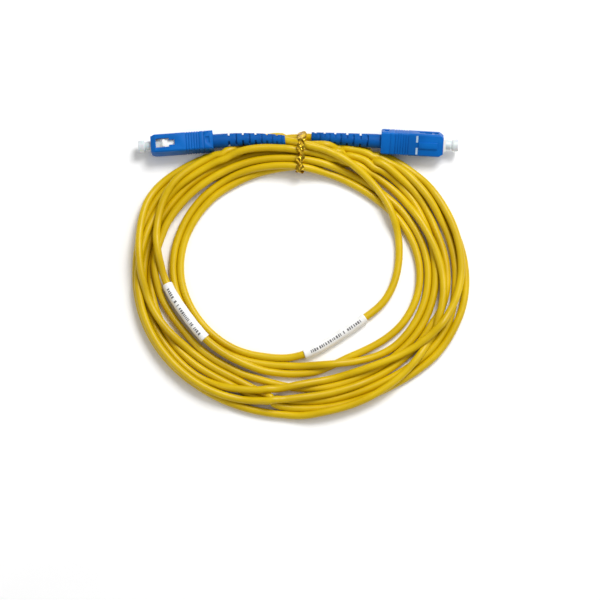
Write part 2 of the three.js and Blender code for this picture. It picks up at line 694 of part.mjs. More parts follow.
for (const [tag, plug] of [["a", PLUG_A], ["b", PLUG_B]]) {
  const set = (name, geometry, look) => add(name + "_" + tag, placed(geometry, plug), look);
  set("outer_housing", gripGeometry().translate(-plug.gripBack, 0, 0), looks.grip());
  set("plug_frame", frameGeometry(), looks.frame());
  set("ferrule", ferruleGeometry(), looks.ferrule());
  set("ferrule_flange", flangeGeometry(), looks.steel());
  set("spring", springGeometry(), looks.steel());
  set("stop_body", stopGeometry(), looks.steel());
  const yarn = tube(BARREL_X + GAP, BARREL_END + 0.1, YARN_R - YARN_T, YARN_R, 16);
  set("aramid_yarn", yarn, looks.yarn());
  set("crimp_sleeve", tube(BARREL_X + GAP, CRIMP_END, CRIMP_BORE_R, CRIMP_R, 20), looks.steel());
  const bufferX = FERRULE_L - FERRULE_OUT + 2.0;
  set("tight_buffer", rod(bufferX, JACKET_X - GAP, BUFFER_R, 10), looks.buffer());
  const stations = [];
  const end = BOOT_TAIL_X + JACKET_OUT;
  for (let i = 0; i <= 6; i += 1) stations.push(BEND_START + ((end - BEND_START) * i) / 6);
  const jacket = [[end, 0], ...stations.reverse().map((x) => [x, CORD_R])];
  jacket.push([JACKET_X, CORD_R], [JACKET_X, 0]);
  set("jacket_end", turned(jacket, 12), looks.jacket());
  set("boot", bootGeometry(), looks.boot());
  set("dust_cap", capGeometry(), looks.cap());
}

// ---- coil ----
// The coil's section at a bearing, between the two nearest rows of COIL.
function coilAt(bearing) {
  const b = ((bearing % 360) + 360) % 360;
  const rows = [...COIL, [360, ...COIL[0].slice(1)]];
  let i = 0;
  while (i < rows.length - 2 && b >= rows[i + 1][0]) i += 1;
  const t = (b - rows[i][0]) / (rows[i + 1][0] - rows[i][0]);
  return rows[i].map((v, k) => v + (rows[i + 1][k] - v) * t);
}

function coilPoint(bearing, radius, z) {
  const a = THREE.MathUtils.degToRad(bearing);
  const x = COIL_X + radius * Math.sin(a);
  return new THREE.Vector3(x, COIL_Y + COIL_OVAL * radius * Math.cos(a), z);
}

function coilGeometry() {
  const bearings = new Set(COIL.map((row) => row[0]));
  for (let b = 0; b < 360; b += COIL_STEP) {
    if (![...bearings].some((k) => Math.abs(k - b) < COIL_STEP * 0.45)) bearings.add(b);
  }
  const list = [...bearings].sort((p, q) => p - q);
  const outline = new Array(11).fill(0).map((_, i) => new THREE.Vector2(1, i));
  const g = new THREE.LatheGeometry(outline, list.length);
  const p = g.attributes.position;
  const e = COIL_EDGE * CORD_D;
  for (let i = 0; i <= list.length; i += 1) {
    const bearing = list[i % list.length];
    const [, inner, step, outer, under, low, top] = coilAt(bearing);
    const section = [
      [inner * COIL_R + e, under * CORD_D],
      [outer * COIL_R - e, under * CORD_D],
      [outer * COIL_R, under * CORD_D + e],
      [outer * COIL_R, low * CORD_D - e],
      [outer * COIL_R - e, low * CORD_D],
      [step * COIL_R, low * CORD_D],
      [step * COIL_R - e, top * CORD_D],
      [inner * COIL_R + e, top * CORD_D],
      [inner * COIL_R, top * CORD_D - e],
      [inner * COIL_R, under * CORD_D + e],
    ];
    for (let j = 0; j <= 10; j += 1) {
      const [r, z] = section[(10 - j) % 10];
      const at = coilPoint(bearing, r, z);
      p.setXYZ(i * 11 + j, at.x, at.y, at.z);
    }
  }
  return g;
}
add("cord_coil", coilGeometry(), looks.jacket());

// ---- leads ----
const LEAD_B = [...LEAD_B_START, ...LEAD_B_PASS.map(passPoint), ...LEAD_B_END];

// The path of a lead: out of the boot's tail, then along its row of points over the coil.
function leadPath(plug, rows) {
  // The jacket's end face leans by the boot's bend, so the lead starts that much further back.
  const slope = (2 * new THREE.Vector3(...plug.bend).length()) / (BOOT_TAIL_X - BEND_START);
  const back = BOOT_TAIL_X + JACKET_OUT + GAP + slope * CORD_R;
  const points = [onAxis(plug, back), onAxis(plug, back + 1.4)];
  for (const row of rows) {
    if (row.isVector3) points.push(row);
    else points.push(coilPoint(row[0], row[1] * COIL_R, row[2]));
  }
  return new THREE.CatmullRomCurve3(points, false, "centripetal");
}

// A stretch of a path between two shares of its length.
class Stretch extends THREE.Curve {
  constructor(path, from, to) {
    super();
    this.path = path;
    this.from = from;
    this.to = to;
  }
  getPoint(t, target = new THREE.Vector3()) {
    return this.path.getPointAt(this.from + (this.to - this.from) * t, target);
  }
}

// The lead and the label sleeve over it, which starts and ends at two of the lead's own steps.
function lead(tag, plug, rows, labelEnd) {
  const path = leadPath(plug, rows);
  path.arcLengthDivisions = 800;
  const length = path.getLength();
  const steps = Math.ceil(length / (LEAD_STEP * CORD_D));
  const cord = swept(new THREE.Shape(ringPoints(CORD_R, CORD_SIDES)), path, steps);
  add("cord_lead_" + tag, cord, looks.jacket());
  const last = steps - Math.max(1, Math.round((labelEnd / length) * steps));
  const first = last - Math.round((LABEL_L / length) * steps);
  const sleeve = new THREE.Shape(ringPoints(CORD_R + GAP + LABEL_T, 12));
  sleeve.holes.push(new THREE.Path(ringPoints(CORD_R + GAP, 12)));
  const under = new Stretch(path, first / steps, last / steps);
  add("label_sleeve_" + tag, swept(sleeve, under, last - first), looks.label());
  return path;
}
const paths = [lead("a", PLUG_A, LEAD_A, LABEL_A_END), lead("b", PLUG_B, LEAD_B, LABEL_B_END)];

// ---- twist tie: a flat band round the bundle, with its knot on top ----
function tieGeometry() {
  const row = COIL[0];
  const held = paths.flatMap((path) =>
    path.getSpacedPoints(600).filter((p) => Math.abs(p.x - TIE_X) < TIE_W / 2 + CORD_R && p.y > -20),
  );
  const near = Math.max(...held.map((p) => p.y)) + CORD_R + TIE_SLACK;
  const far = coilPoint(0, row[1] * COIL_R, 0).y - TIE_SLACK;
  const bottom = Math.min(...held.map((p) => p.z)) - CORD_R - SNUG;
  const low = Math.min(row[4] * CORD_D - TIE_SLACK, bottom);
  const top = Math.max(...held.map((p) => p.z)) + CORD_R;
  const high = Math.max(OVER + CORD_R + TIE_SLACK, top);
  const cut = 0.5;
  const outline = (grow) => {
    const c = cut + grow * 0.6;
    return [
      [far - grow + c, low - grow],
      [near + grow - c, low - grow],
      [near + grow, low - grow + c],
      [near + grow, high + grow - c],
      [near + grow - c, high + grow],
      [far - grow + c, high + grow],
      [far - grow, high + grow - c],
      [far - grow, low - grow + c],
    ].map(([u, v]) => new THREE.Vector2(u, v));
  };
  const shape = new THREE.Shape(outline(TIE_T));
  shape.holes.push(new THREE.Path(outline(0)));
  const g = new THREE.ExtrudeGeometry(shape, { depth: TIE_W, bevelEnabled: false });
  // The section's u runs along Y and its v along Z, so the band's width lies along X.
  g.translate(0, 0, -TIE_W / 2);
  g.rotateX(Math.PI / 2);
  g.rotateZ(Math.PI / 2);
  g.translate(TIE_X, 0, 0);
  const knot = new THREE.BoxGeometry(KNOT_W, KNOT_L, KNOT_H);
  knot.translate(TIE_X, (near + far) / 2 + 1.5, high + TIE_T + KNOT_H / 2 - 0.3);
  return geometryOf(solid(g).add(solid(knot)));
}
add("twist_tie", tieGeometry(), looks.tie());

export default root;
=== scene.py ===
import math
import random

import bmesh
import bpy
import numpy as np
from mathutils import Matrix, Vector, kdtree


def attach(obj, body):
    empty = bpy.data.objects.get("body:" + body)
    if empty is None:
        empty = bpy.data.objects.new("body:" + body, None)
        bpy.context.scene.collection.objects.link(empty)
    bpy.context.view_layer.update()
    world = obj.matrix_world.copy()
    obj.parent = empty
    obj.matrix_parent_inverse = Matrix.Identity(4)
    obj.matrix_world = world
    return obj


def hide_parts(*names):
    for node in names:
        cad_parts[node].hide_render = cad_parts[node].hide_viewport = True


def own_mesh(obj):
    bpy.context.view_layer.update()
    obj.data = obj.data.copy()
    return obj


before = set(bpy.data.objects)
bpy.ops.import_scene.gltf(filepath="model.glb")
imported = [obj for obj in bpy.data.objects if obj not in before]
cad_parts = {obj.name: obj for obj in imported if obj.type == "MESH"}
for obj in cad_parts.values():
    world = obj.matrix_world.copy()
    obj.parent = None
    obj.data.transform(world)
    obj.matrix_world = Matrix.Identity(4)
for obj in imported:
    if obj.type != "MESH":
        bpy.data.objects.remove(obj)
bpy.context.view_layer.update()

bl_info = {
    "name": "Fibre optic patch cord",
    "version": (1, 0, 0),
    "blender": (4, 5, 0),
    "location": "View3D > Sidebar > Patch cord",
    "description": "A coiled simplex fibre patch cord with two push-pull plugs, built on its CAD frame",
    "category": "Object",
}

MM = 0.001

# How each plug lies: the middle of its mouth (mm), heading and pitch and roll (degrees), the shift
# of its boot's tail (mm), and how far its grip is drawn back (mm).
PLUGS = {
    "a": {"nose": (-59.0, -1.24, 4.55), "heading": 184.0, "pitch": -1.4544, "roll": 90.0,
          "bend": (0.0, -2.0, 0.75), "back": 0.0},
    "b": {"nose": (59.3, -0.98, 5.3038), "heading": -3.3, "pitch": 0.0, "roll": 25.0,
          "bend": (0.0, 0.5, -2.2), "back": 1.0},
}
BEND_START = 32.0
BOOT_FRONT, BOOT_TAIL = 22.6, 54.0
BOOT_TAPER_START = 29.0
BOOT_COLLAR_R, BOOT_TAIL_R = 2.8, 2.1
BOOT_BORE_R, BOOT_TAIL_BORE_R = 2.3, 1.7  # over the crimp sleeve, and over the cord behind it
BORE_STEP = (30.6, 31.0)  # where the bore narrows from one to the other
SLOT_START, SLOT_COUNT, SLOT_L = 31.0, 10, 0.8
SLOT_PITCH, SLOT_SHRINK = 2.9, 0.14  # the pitch shrinks by this much at each slot
SLOT_FLOOR_R = 1.85  # a slot stops just over the cord
GRIP_HALF = (4.5, 3.7)  # half the grip's width and height
GRIP_REACH = 29.5  # how far back a strand keeps clear of a grip that is drawn back
SPRING_FRONT, SPRING_REAR = 10.1, 18.3
JACKET_START = 28.7
COIL_X, COIL_Y, COIL_OVAL = 0.8, -53.94, 0.873
LEAN = 0.176  # how far a strand's row is set towards -Y for each mm that it lies higher
TIE_X = 0.8

# The cord's nine turns, clockwise from +Y: bearing in degrees, radius in mm (before the oval's
# squeeze), and layer (0 on the table, 1 on another strand).
TURNS = (
    (
        (0, 62.2, 1.6), (10, 60.2, 2.15), (20, 57.2, 2.25), (30, 54.0, 2.2), (40, 50.8, 1.8),
        (50, 47.8, 1.2), (60, 44.8, 0.5), (70, 42.2, 0), (80, 40.0, 0), (90, 38.4, 0),
        (100, 36.8, 0), (110, 35.4, 0), (125, 32.0, 0), (140, 31.0, 0), (154, 31.5, 0),
        (166, 33.6, 0), (178, 36.3, 0), (190, 38.4, 0), (200, 40.0, 0), (220, 43.0, 0),
        (240, 44.6, 0), (260, 46.8, 0), (280, 48.6, 0), (300, 50.0, 0), (320, 51.2, 0),
        (340, 51.4, 0),
    ),
    (
        (0, 51.6, 0), (20, 56.4, 0), (40, 63.2, 0), (60, 65.2, 0), (80, 66.0, 0), (100, 66.6, 0),
        (110, 66.2, 0), (120, 64.6, 0), (130, 63.2, 0), (140, 61.8, 0), (160, 60.6, 0),
        (180, 60.7, 0), (190, 58.8, 0), (200, 55.2, 0), (210, 53.4, 0), (220, 53.6, 0.2),
        (230, 54.8, 0.7), (240, 57.0, 1), (250, 59.4, 1), (260, 61.4, 1), (270, 63.2, 1),
        (280, 65.0, 1), (290, 68.0, 0.8), (300, 71.0, 0.3), (310, 71.2, 0), (320, 68.0, 0),
        (330, 65.2, 0), (340, 64.4, 0),
    ),
    (
        (0, 64.0, 0), (20, 65.6, 0), (40, 66.8, 0), (60, 66.2, 0.3), (80, 65.2, 0.8),
        (90, 64.4, 1), (100, 63.0, 1), (110, 60.8, 1), (120, 58.2, 1), (130, 54.6, 1),
        (140, 51.4, 0.8), (150, 49.6, 0.5), (160, 48.8, 0.5), (180, 49.1, 1), (190, 52.8, 1),
        (200, 55.6, 1), (210, 58.8, 1), (220, 61.4, 1), (240, 62.4, 1), (260, 62.6, 0.6),
        (270, 62.6, 0.2), (280, 62.0, 0), (300, 62.0, 0), (320, 62.0, 0), (340, 60.0, 0),
    ),
    (
        (0, 57.8, 0), (20, 61.6, 0.7), (30, 62.4, 1), (40, 62.0, 1), (50, 60.8, 1),
        (60, 59.2, 1), (70, 58.4, 0.5), (80, 58.8, 0), (100, 59.0, 0), (120, 56.8, 0),
        (140, 55.6, 0), (160, 55.0, 0.3), (180, 55.4, 1), (190, 57.8, 1), (200, 60.8, 1),
        (210, 63.0, 1), (220, 64.0, 1), (240, 64.6, 1), (260, 64.8, 0.8), (280, 64.6, 0.3),
        (300, 65.2, 0.5), (320, 64.0, 1), (340, 63.0, 1), (350, 60.8, 1),
    ),
    (
        (0, 58.8, 1), (20, 57.6, 1), (40, 55.8, 1), (60, 54.8, 1), (70, 55.0, 1), (80, 56.0, 1),
        (90, 57.2, 1), (100, 58.0, 0.9), (110, 58.6, 0.2), (120, 59.4, 0.3), (130, 60.2, 0.8),
        (140, 61.0, 1), (150, 61.8, 1), (160, 62.6, 0.8), (180, 63.7, 0.3), (200, 64.4, 0),
        (220, 64.8, 0), (240, 65.0, 0), (260, 65.2, 0), (280, 66.0, 0), (300, 68.2, 0),
        (320, 66.0, 0), (340, 63.2, 0),
    ),
    (
        (0, 60.8, 0), (20, 63.6, 0.7), (40, 64.6, 1), (50, 63.8, 1), (60, 63.0, 0.8),
        (80, 62.4, 0.3), (100, 62.4, 0), (110, 63.2, 0), (120, 63.4, 0), (130, 62.0, 0),
        (140, 60.0, 0), (150, 58.8, 0), (180, 58.8, 0), (200, 57.6, 0), (210, 56.4, 0),
        (220, 57.6, 0.3), (230, 58.6, 0.5), (240, 59.0, 0.3), (260, 60.0, 0), (280, 59.8, 0),
        (300, 59.2, 0), (320, 58.8, 0), (340, 57.0, 0),
    ),
    (
        (0, 54.8, 0), (20, 60.8, 0.8), (30, 60.6, 1), (40, 59.6, 1), (50, 58.4, 1),
        (60, 56.6, 0.6), (66, 55.6, 0), (80, 54.4, 0), (90, 54.2, 0), (110, 53.8, 0),
        (130, 52.8, 0), (150, 52.2, 0), (180, 51.9, 0), (190, 50.4, 0), (200, 49.8, 0.3),
        (220, 51.2, 0.8), (240, 52.2, 0.8), (250, 53.8, 0.8), (260, 56.0, 0.8), (270, 58.2, 0.7),
        (280, 58.6, 0.8), (300, 58.8, 1), (320, 58.2, 1), (340, 57.6, 1),
    ),
    (
        (0, 55.2, 1), (20, 52.4, 0.6), (30, 51.4, 0), (40, 51.0, 0), (60, 51.3, 0),
        (80, 51.4, 0), (100, 51.3, 0), (120, 50.4, 0.3), (130, 49.8, 0.7), (140, 47.4, 1),
        (150, 44.6, 1), (160, 42.6, 1), (170, 41.6, 0.5), (180, 41.4, 0), (190, 41.4, 0),
        (200, 42.8, 0), (220, 46.0, 0), (240, 47.8, 0), (260, 49.6, 0), (270, 50.8, 0),
        (280, 51.4, 0), (300, 52.8, 0), (320, 54.6, 0.5), (340, 54.0, 1),
    ),
    (
        (0, 51.6, 1), (20, 49.0, 0.5), (30, 48.0, 0), (40, 47.4, 0), (60, 48.0, 0),
        (80, 48.2, 0), (100, 47.8, 0), (120, 46.2, 0), (140, 43.0, 0), (150, 41.8, 0),
        (160, 42.4, 0), (170, 44.2, 0), (180, 45.1, 0), (200, 45.4, 0.5), (210, 45.8, 1),
        (231, 47.4, 1), (240, 47.6, 1), (250, 48.8, 1), (260, 51.2, 1), (268, 53.6, 1),
        (280, 57.4, 1.5), (290, 60.8, 1.5), (300, 64.8, 1.3), (310, 67.4, 1), (320, 67.2, 1),
        (330, 65.7, 0.7), (340, 65.8, 0.2), (350, 65.1, 0.2), (360, 65.2, 0.3),
    ),
)
SLEEVES = {"a": (0, 125.0, 179.0), "b": (8, 231.0, 268.0)}  # turn, first and last bearing


# ---------------------------------------------------------------- small helpers
def linear(hex_colour):
    """The linear RGBA of an sRGB hex colour."""
    parts = [int(hex_colour[i : i + 2], 16) / 255 for i in (0, 2, 4)]
    out = [c / 12.92 if c <= 0.04045 else ((c + 0.055) / 1.055) ** 2.4 for c in parts]
    return (*out, 1.0)


def add_node(tree, kind, inputs=None, **settings):
    """One shader node, with its settings and its unlinked or linked inputs."""
    n = tree.nodes.new(kind)
    for key, value in settings.items():
        setattr(n, key, value)
    for key, value in (inputs or {}).items():
        if isinstance(value, bpy.types.NodeSocket):
            tree.links.new(value, n.inputs[key])
        else:
            n.inputs[key].default_value = value
    return n


def new_material(name):
    m = bpy.data.materials.get(name) or bpy.data.materials.new(name)
    m.use_nodes = True
    m.node_tree.nodes.clear()
    return m, m.node_tree


def close(tree, shader, bump=None):
    out = add_node(tree, "ShaderNodeOutputMaterial")
    tree.links.new(shader.outputs[0], out.inputs["Surface"])
    if bump is not None:
        tree.links.new(bump.outputs["Normal"], shader.inputs["Normal"])


def mottled(tree, low, high, per_mm, detail=3.0, spread=(0.35, 0.65)):
    """A colour that drifts between two tones, per_mm cycles to the millimetre."""
    at = add_node(tree, "ShaderNodeTexCoord").outputs["Object"]
    noise = add_node(tree, "ShaderNodeTexNoise",
                     {"Vector": at, "Scale": per_mm / MM, "Detail": detail})
    ramp = add_node(tree, "ShaderNodeValToRGB", {"Fac": noise.outputs["Fac"]})
    ramp.color_ramp.elements[0].position, ramp.color_ramp.elements[1].position = spread
    ramp.color_ramp.elements[0].color = linear(low)
    ramp.color_ramp.elements[1].color = linear(high)
    return ramp.outputs["Color"], noise.outputs["Fac"], at


def grain(tree, per_mm, strength, depth_mm, at):
    noise = add_node(tree, "ShaderNodeTexNoise",
                     {"Vector": at, "Scale": per_mm / MM, "Detail": 4.0})
    return add_node(tree, "ShaderNodeBump",
                    {"Height": noise.outputs["Fac"], "Strength": strength,
                     "Distance": depth_mm * MM})


# ---------------------------------------------------------------- materials
def jacket_pvc(low="CBA800", high="D9B706"):
    """Extruded PVC cord jacket: an even lemon yellow with a soft long highlight."""
    m, t = new_material("extruded PVC jacket")
    colour, fac, at = mottled(t, low, high, 0.06)
    rough = add_node(t, "ShaderNodeMapRange",
                     {"Value": fac, "To Min": 0.3, "To Max": 0.4})
    bump = grain(t, 2.2, 0.12, 0.03, at)
    s = add_node(t, "ShaderNodeBsdfPrincipled",
                 {"Base Color": colour, "Roughness": rough.outputs[0],
                  "Specular IOR Level": 0.3})
    close(t, s, bump)
    return m


def moulded_pbt(name="moulded PBT grip", low="005CAE", high="0066BC", grain_mm=1.6):
    """Injection-moulded PBT: satin blue with a fine spark-eroded grain."""
    m, t = new_material(name)
    colour, fac, at = mottled(t, low, high, 0.12)
    rough = add_node(t, "ShaderNodeMapRange",
                     {"Value": fac, "To Min": 0.38, "To Max": 0.5})
    bump = grain(t, grain_mm * 4, 0.18, 0.02, at)
    s = add_node(t, "ShaderNodeBsdfPrincipled",
                 {"Base Color": colour, "Roughness": rough.outputs[0],
                  "Specular IOR Level": 0.16})
    close(t, s, bump)
    return m


def moulded_tpe():
    """Soft moulded elastomer of the boots: duller and a little darker than the grips."""
    m, t = new_material("moulded TPE boot")
    colour, fac, at = mottled(t, "004E98", "0058A6", 0.15)
    rough = add_node(t, "ShaderNodeMapRange",
                     {"Value": fac, "To Min": 0.46, "To Max": 0.6})
    bump = grain(t, 5.0, 0.2, 0.03, at)
    s = add_node(t, "ShaderNodeBsdfPrincipled",
                 {"Base Color": colour, "Roughness": rough.outputs[0],
                  "Specular IOR Level": 0.14})
    close(t, s, bump)
    return m


def white_pbt():
    """Moulded white PBT of the plug frame, faintly translucent at its edges."""
    m, t = new_material("moulded white PBT")
    colour, fac, at = mottled(t, "E9E9E4", "F6F6F2", 0.2)
    bump = grain(t, 6.0, 0.1, 0.02, at)
    s = add_node(t, "ShaderNodeBsdfPrincipled",
                 {"Base Color": colour, "Roughness": 0.42, "Subsurface Weight": 0.1,
                  "Subsurface Scale": 0.001})
    close(t, s, bump)
    return m


def ground_zirconia():
    """Ground and polished ceramic: near white and very smooth, with a faint fine grain."""
    m, t = new_material("ground zirconia")
    colour, fac, at = mottled(t, "F1F1F0", "FBFBFB", 0.3)
    bump = grain(t, 12.0, 0.04, 0.01, at)
    s = add_node(t, "ShaderNodeBsdfPrincipled",
                 {"Base Color": colour, "Roughness": 0.12, "Specular IOR Level": 0.7})
    close(t, s, bump)
    return m


def turned_steel():
    """Turned nickel-plated metal: a fine grain under a satin plate."""
    m, t = new_material("turned nickel-plated steel")
    colour, fac, at = mottled(t, "A9ABAE", "C4C6C8", 0.5)
    rough = add_node(t, "ShaderNodeMapRange", {"Value": fac, "To Min": 0.24, "To Max": 0.36})
    bump = grain(t, 9.0, 0.15, 0.02, at)
    s = add_node(t, "ShaderNodeBsdfPrincipled",
                 {"Base Color": colour, "Roughness": rough.outputs[0], "Metallic": 1.0})
    close(t, s, bump)
    return m


def aramid():
    """Loose aramid yarn, pressed flat: dull gold with a coarse fine grain."""
    m, t = new_material("aramid yarn")
    colour, fac, at = mottled(t, "C79A2E", "E3BE55", 1.2)
    bump = grain(t, 7.0, 0.6, 0.08, at)
    s = add_node(t, "ShaderNodeBsdfPrincipled",
                 {"Base Color": colour, "Roughness": 0.8})
    close(t, s, bump)
    return m


def clear_pe():
    """Milky translucent polyethylene of the dust caps."""
    m, t = new_material("milky polyethylene cap")
    colour, fac, at = mottled(t, "DDE6E8", "F2F6F7", 0.35)
    bump = grain(t, 3.0, 0.12, 0.03, at)
    s = add_node(t, "ShaderNodeBsdfPrincipled",
                 {"Base Color": colour, "Roughness": 0.3, "Transmission Weight": 0.28,
                  "IOR": 1.45, "Subsurface Weight": 0.2, "Subsurface Scale": 0.002})
    close(t, s, bump)
    return m


def shrink_sleeve():
    """White heat-shrink label sleeve: satin, with slight waves where it has pulled tight."""
    m, t = new_material("white shrink sleeve")
    colour, fac, at = mottled(t, "ECECEA", "F8F8F6", 0.25)
    bump = grain(t, 0.9, 0.25, 0.06, at)
    s = add_node(t, "ShaderNodeBsdfPrincipled",
                 {"Base Color": colour, "Roughness": 0.45})
    close(t, s, bump)
    return m


def printed(name, hex_colour, rough):
    """Marking ink: an even colour whose gloss drifts a little."""
    m, t = new_material(name)
    colour, fac, at = mottled(t, hex_colour, hex_colour, 2.0)
    noise = add_node(t, "ShaderNodeTexNoise", {"Vector": at, "Scale": 3.0 / MM})
    r = add_node(t, "ShaderNodeMapRange",
                 {"Value": noise.outputs["Fac"], "To Min": rough, "To Max": rough + 0.15})
    s = add_node(t, "ShaderNodeBsdfPrincipled", {"Base Color": colour, "Roughness": r.outputs[0]})
    close(t, s)
    return m


def gold_foil():
    """Metallised foil over wire: gold, its colour drifting at random between dark and bright gold as
    painted glints on creases and painted shade in folds.
    """
    m, t = new_material("metallised foil")
    # Painted glints and painted shade: the random drift from dark brown-gold to bright gold stands in
    # for light on the foil's creases and shade in its folds.
    colour, fac, at = mottled(t, "8F5F08", "F6CF3C", 0.8)
    noise = add_node(t, "ShaderNodeTexVoronoi", {"Vector": at, "Scale": 1.6 / MM})
    bump = add_node(t, "ShaderNodeBump",
                    {"Height": noise.outputs["Distance"], "Strength": 0.8, "Distance": 0.15 * MM})
    s = add_node(t, "ShaderNodeBsdfPrincipled",
                 {"Base Color": colour, "Roughness": 0.22, "Metallic": 1.0})
    close(t, s, bump)
    return m


# ---------------------------------------------------------------- mesh helpers
def axes_of(tag):
    """The plug's frame in the world, mm: x out of its mouth, y across, z to the keyed face."""
    p = PLUGS[tag]
    h, e, r = (math.radians(p[k]) for k in ("heading", "pitch", "roll"))
    x = Vector((math.cos(h) * math.cos(e), math.sin(h) * math.cos(e), math.sin(e)))
    side = Vector((0, 0, 1)).cross(x).normalized()
    top = x.cross(side)
    y = side * math.cos(r) + top * math.sin(r)
    z = top * math.cos(r) - side * math.sin(r)
    m = Matrix((x, y, z)).transposed().to_4x4()
    m.translation = Vector(p["nose"])
    return m


def bent(tag, v):
    """A point of the plug's frame in the world, mm, with the boot's bend."""
    t = max(0.0, (-v[0] - BEND_START) / (BOOT_TAIL - BEND_START))
    return axes_of(tag) @ Vector(v) + Vector(PLUGS[tag]["bend"]) * t * t


def object_of(name, bm, material, smooth=38.0):
    """A new object from bm, shaded smooth but for edges sharper than smooth degrees."""
    mesh = bpy.data.meshes.new(name)
    bm.to_mesh(mesh)
    bm.free()
    mesh.shade_smooth()
    mesh.set_sharp_from_angle(angle=math.radians(smooth))
    mesh.materials.append(material)
    o = bpy.data.objects.new(name, mesh)
    bpy.context.scene.collection.objects.link(o)
    return o


def lathe(bm, profile, sides):
    """A surface turned about -x from a closed profile of (distance back, radius), in mm."""
    rings = []
    for x, r in profile:
        if r < 1e-6:
            rings.append([bm.verts.new((-x, 0, 0))] * sides)
            continue
        ring = []
        for k in range(sides):
            a = 2 * math.pi * k / sides
            ring.append(bm.verts.new((-x, r * math.cos(a), r * math.sin(a))))
        rings.append(ring)
    for one, two in zip(rings, rings[1:]):
        for k in range(sides):
            quad = [one[k], one[(k + 1) % sides], two[(k + 1) % sides], two[k]]
            kept = [v for i, v in enumerate(quad) if v not in quad[:i]]
            if len(kept) > 2:
                bm.faces.new(kept)
    return bm


def rounded(profile, radius, steps=3):
    """The profile with each inner corner rounded by an arc of about that radius, in mm."""
    out = [profile[0]]
    for before, at, after in zip(profile, profile[1:], profile[2:]):
        p, a, q = (Vector((*v, 0)) for v in (before, at, after))
        back, ahead = p - a, q - a
        reach = min(radius, back.length * 0.45, ahead.length * 0.45)
        if reach < 1e-4:
            out.append(at)
            continue
        s, e = a + back.normalized() * reach, a + ahead.normalized() * reach
        for i in range(steps + 1):
            t = i / steps
            v = s * (1 - t) ** 2 + a * 2 * t * (1 - t) + e * t * t
            out.append((v.x, v.y))
    out.append(profile[-1])
    return out


def turned(name, profile, sides, material, tag, soft=0.0):
    """A turned piece in its place on the plug, from a profile that starts and ends alike."""
    bm = bmesh.new()
    lathe(bm, rounded(profile, soft) if soft else profile, sides)
    bmesh.ops.remove_doubles(bm, verts=bm.verts, dist=1e-4)
    bmesh.ops.recalc_face_normals(bm, faces=bm.faces)
    for v in bm.verts:
        v.co = bent(tag, v.co) * MM
    return object_of(name, bm, material)


def block(bm, x0, x1, w, h, y=0.0, z=0.0):
    """A box from x0 to x1 back, w across y and h across z, in mm."""
    made = bmesh.ops.create_cube(bm, size=1.0)["verts"]
    for v in made:
        v.co = Vector((-(x0 + x1) / 2 + v.co.x * (x1 - x0), y + v.co.y * w, z + v.co.z * h))
    return made


def evaluated(o):
    """The object's mesh with its modifiers made real."""
    dg = bpy.context.evaluated_depsgraph_get()
    mesh = bpy.data.meshes.new_from_object(o.evaluated_get(dg))
    old = o.data
    o.modifiers.clear()
    o.data = mesh
    bpy.data.meshes.remove(old)
    return o


def refined(node, material, body, width, segments=2):
    """The CAD node as a clean mesh with its edges rounded by width mm, riding its body."""
    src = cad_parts[node]
    bm = bmesh.new()
    bm.from_mesh(src.data)
    bm.transform(src.matrix_world)
    bmesh.ops.remove_doubles(bm, verts=bm.verts, dist=2e-6)
    bmesh.ops.dissolve_limit(bm, angle_limit=math.radians(1.0), verts=bm.verts, edges=bm.edges)
    o = object_of(node + "_shell", bm, material)
    if width:
        bevel = o.modifiers.new("edges", "BEVEL")
        bevel.width = width * MM
        bevel.segments = segments
        bevel.limit_method = "ANGLE"
        bevel.angle_limit = math.radians(28)
        bevel.use_clamp_overlap = True
        evaluated(o)
        o.data.shade_smooth()
        o.data.set_sharp_from_angle(angle=math.radians(40))
    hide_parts(node)
    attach(o, body)
    return o


def finish_piece(o, body, slot, *nodes):
    """o takes the place of the CAD nodes and moves with the body; the slot argument is not used."""
    if nodes:
        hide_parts(*nodes)
    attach(o, body)
    return o


# ---------------------------------------------------------------- cord
def boot_radius(x):
    """The boot's outer radius, x mm behind the plug frame's front."""
    t = min(1.0, max(0.0, (x - BOOT_TAPER_START) / (BOOT_TAIL - BOOT_TAPER_START)))
    return BOOT_COLLAR_R + (BOOT_TAIL_R - BOOT_COLLAR_R) * t


def cord_route(cord_d):
    """The route the cord is laid along before it settles: points in mm, and bearings."""
    r = cord_d / 2
    bearings, radii, layers = [], [], []
    for k, turn in enumerate(TURNS):
        for b, radius, layer in turn:
            bearings.append(b + 360.0 * k)
            radii.append(radius)
            layers.append(layer)
    fine = np.arange(6.0, bearings[-1] - 5.0, 1.0)
    rad = np.interp(fine, bearings, radii)
    lay = np.interp(fine, bearings, layers)
    kernel = np.exp(-0.5 * (np.arange(-14, 15) / 5.0) ** 2)
    kernel /= kernel.sum()
    rad = np.convolve(np.pad(rad, 14, mode="edge"), kernel, mode="valid")
    lay = np.convolve(np.pad(lay, 14, mode="edge"), kernel, mode="valid")
    a = np.radians(fine)
    z = r + lay * cord_d * 0.87
    x = COIL_X + rad * np.sin(a)
    near = np.exp(-(((x - TIE_X) / 14.0) ** 2)) * (np.cos(a) > 0)
    z = z + 1.2 * near
    y = COIL_Y + COIL_OVAL * rad * np.cos(a) - LEAN * z
    turns = np.stack([x, y, z], axis=1)
    inside = {}
    for tag in "ab":
        xs = np.arange(JACKET_START, BOOT_TAIL + 2.0, 1.0)
        inside[tag] = np.array([bent(tag, (-v, 0, 0))[:] for v in xs])
    points = np.concatenate([inside["a"], turns, inside["b"][::-1]])
    marks = np.concatenate([np.full(len(inside["a"]), -1.0), fine,
                            np.full(len(inside["b"]), 1e6)])
    return points, marks


def resampled(points, marks, step):
    """The same line with a point every step mm."""
    gaps = np.linalg.norm(np.diff(points, axis=0), axis=1)
    run = np.concatenate([[0.0], np.cumsum(gaps)])
    n = int(round(run[-1] / step))
    s = np.linspace(0.0, run[-1], n + 1)
    out = np.stack([np.interp(s, run, points[:, k]) for k in range(3)], axis=1)
    return out, np.interp(s, run, marks), run[-1] / n


